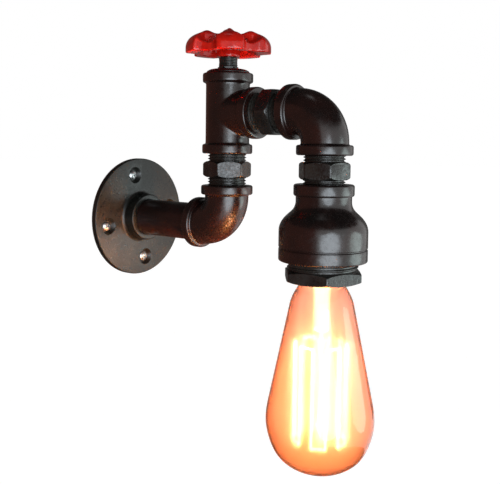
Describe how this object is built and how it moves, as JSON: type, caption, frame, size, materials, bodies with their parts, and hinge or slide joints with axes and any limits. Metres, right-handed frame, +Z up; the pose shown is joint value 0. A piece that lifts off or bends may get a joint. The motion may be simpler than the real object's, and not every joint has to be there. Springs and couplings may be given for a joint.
{
  "type": "wall sconce",
  "caption": "Industrial wall sconce of screwed pipe fittings with a red hand wheel dimmer, a swinging arm and a bare cage filament bulb.",
  "frame": {"origin": "centre of the wall flange's back face, on the wall", "axes": "+Y into the wall, the lamp stands out along -Y, +Z up, +X to the right of someone who faces the wall"},
  "size_m": [0.0828, 0.1974, 0.2667],
  "materials": {
    "black_iron": "satin black paint on cast iron",
    "flange_iron": "satin dark grey cast iron",
    "blackened_steel": "blackened steel",
    "zinc_steel": "bright zinc",
    "red_paint": "gloss red enamel",
    "brass": "plain brass",
    "cap_nickel": "nickelled brass",
    "solder": "dull solder",
    "porcelain": "glazed porcelain",
    "black_glass": "black glass",
    "terminal_plastic": "moulded plastic",
    "silicone_sleeve": "woven glass sleeve",
    "amber_glass": "clear amber glass",
    "clear_glass": "clear glass",
    "wire": "bare wire",
    "glowing_filament": "glowing tungsten"
  },
  "bodies": {
    "base": {"wall_flange": "flange_iron", "wall_screws": "zinc_steel", "wall_nipple": "black_iron", "lower_elbow": "black_iron", "riser_nipple": "black_iron", "feed_lead": "silicone_sleeve"},
    "arm": {"control_tee": "black_iron", "bonnet_plug": "black_iron", "dimmer_body": "zinc_steel", "dimmer_terminals": "terminal_plastic", "shaft_nut": "blackened_steel", "gland_sleeve": "blackened_steel", "control_lead": "silicone_sleeve", "lamp_lead": "silicone_sleeve", "branch_nipple": "black_iron", "upper_elbow": "black_iron", "drop_nipple": "black_iron", "bell_reducer": "black_iron", "hex_bushing": "black_iron", "seat_washer": "zinc_steel", "holder_locknut": "brass", "holder_nipple": "brass", "lampholder_body": "porcelain", "lampholder_shell": "brass", "centre_contact": "brass", "terminal_screws": "brass"},
    "control": {"dimmer_shaft": "zinc_steel", "hand_wheel": "red_paint", "wheel_nut": "blackened_steel"},
    "bulb_carrier": {"bulb_contact": "solder"},
    "bulb": {"cap_insulator": "black_glass", "bulb_cap": "cap_nickel", "bulb_glass": "amber_glass", "filament_stem": "clear_glass", "lead_wires": "wire", "filament_supports": "wire", "filament": "glowing_filament"}
  },
  "joints": [
    {"name": "arm_swing", "type": "hinge", "parent": "base", "child": "arm", "pos_m": [0, -0.08455, 0.0459], "axis": [0, 0, 1], "range_deg": [-90, 90]},
    {"name": "wheel_turn", "type": "hinge", "parent": "arm", "child": "control", "pos_m": [0, -0.08455, 0.1072], "axis": [0, 0, 1], "range_deg": [0, 270]},
    {"name": "bulb_travel", "type": "slide", "parent": "arm", "child": "bulb_carrier", "axis": [0, 0, -1], "range_m": [0, 0.02178]},
    {"name": "bulb_turn", "type": "hinge", "parent": "bulb_carrier", "child": "bulb", "pos_m": [0, -0.15835, -0.001], "axis": [0, 0, -1], "range_deg": [0, 2160]}
  ],
  "couplings": [
    {"joint": "bulb_travel", "follows": "bulb_turn", "m_per_rad": 0.00057773}
  ]
}
